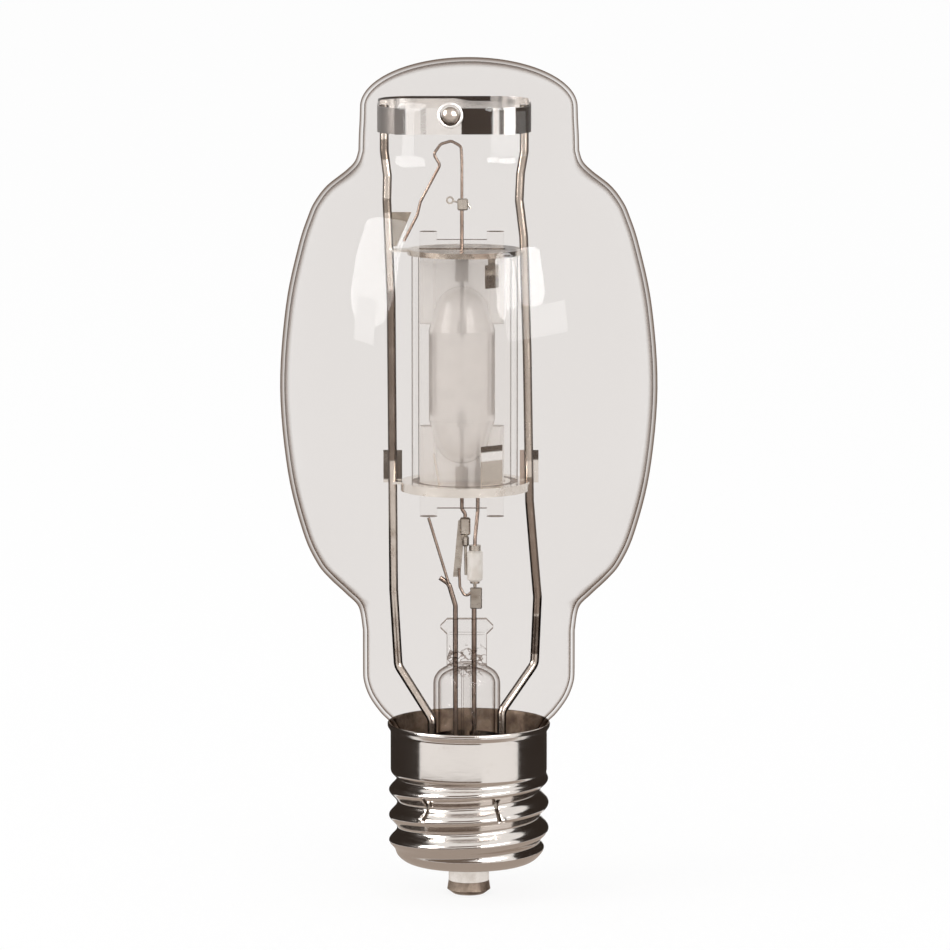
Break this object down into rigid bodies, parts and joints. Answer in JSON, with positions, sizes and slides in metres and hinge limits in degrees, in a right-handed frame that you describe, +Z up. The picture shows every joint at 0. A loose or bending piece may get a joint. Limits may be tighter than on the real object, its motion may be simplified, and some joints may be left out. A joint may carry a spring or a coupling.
{
  "type": "metal halide lamp",
  "caption": "Clear bulged-tubular metal halide lamp with a mogul screw base, a wire-framed quartz arc tube inside a glass shroud and a starting resistor",
  "frame": {"origin": "On the lamp's long axis, at the tip of the centre contact", "axes": "+Z up from the base to the dome, -Y towards the viewer of the picture, +X to the viewer's right"},
  "size_m": [0.0924, 0.0924, 0.2068],
  "materials": {
    "outer_glass": "clear",
    "shell_metal": "polished nickel plate",
    "insulator": "opaque fired insulator",
    "contact_metal": "dull",
    "cement": "opaque matt cement",
    "stem_glass": "clear",
    "frame_metal": "nickel plated, satin",
    "plate_metal": "nickel plated, satin",
    "quartz": "clear",
    "tungsten": "matt",
    "foil_metal": "satin",
    "lead_metal": "satin",
    "resistor_ceramic": "opaque fired ceramic"
  },
  "bodies": {
    "root": {"outer_bulb": "outer_glass", "screw_shell": "shell_metal", "base_insulator": "insulator", "centre_contact": "contact_metal", "base_cement": "cement", "glass_stem": "stem_glass", "stem_clamp": "frame_metal", "frame_post_left": "frame_metal", "frame_post_right": "frame_metal", "dome_strap": "frame_metal", "strap_rivet": "frame_metal", "upper_shroud_plate": "plate_metal", "lower_shroud_plate": "plate_metal", "shroud_tube": "quartz", "arc_tube": "quartz", "upper_electrode": "tungsten", "lower_electrode": "tungsten", "starting_electrode": "tungsten", "upper_foil": "foil_metal", "lower_foil": "foil_metal", "starter_foil": "foil_metal", "upper_arc_lead": "lead_metal", "top_joint": "frame_metal", "top_lead_wire": "lead_metal", "bridge_plate": "plate_metal", "lower_arc_lead": "lead_metal", "lower_joint": "frame_metal", "starter_lead": "lead_metal", "starting_resistor": "resistor_ceramic", "resistor_caps": "frame_metal", "bimetal_strip": "plate_metal", "switch_hook": "lead_metal", "joint_tab": "plate_metal", "lead_in_left": "lead_metal", "lead_in_right": "lead_metal", "probe_wire": "lead_metal", "contact_wire": "lead_metal", "shell_wire": "lead_metal"}
  },
  "joints": []
}
